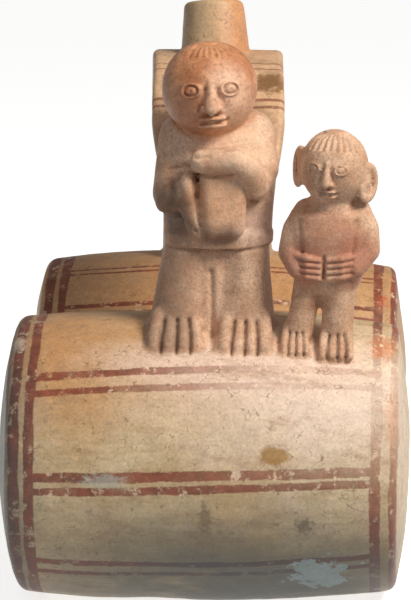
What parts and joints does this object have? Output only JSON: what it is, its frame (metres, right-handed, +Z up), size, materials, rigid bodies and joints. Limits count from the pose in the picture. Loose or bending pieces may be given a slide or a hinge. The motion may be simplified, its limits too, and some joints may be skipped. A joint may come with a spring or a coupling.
{
  "type": "stirrup spout vessel",
  "caption": "Hollow fired-clay vessel of two barrel chambers joined by a stirrup handle with a spout, a large and a small standing figure on the front barrel.",
  "frame": {"origin": "centre of the vessel's box in plan, on the surface it stands on", "axes": "+Z up, +X along the barrels' axes, -Y towards the side with the figures"},
  "size_m": [0.1518, 0.2136, 0.2175],
  "materials": {
    "slipped_clay": "fired clay under a worn cream slip with red-brown painted stripes, lightly burnished"
  },
  "bodies": {
    "root": {"vessel": "slipped_clay"}
  },
  "joints": []
}
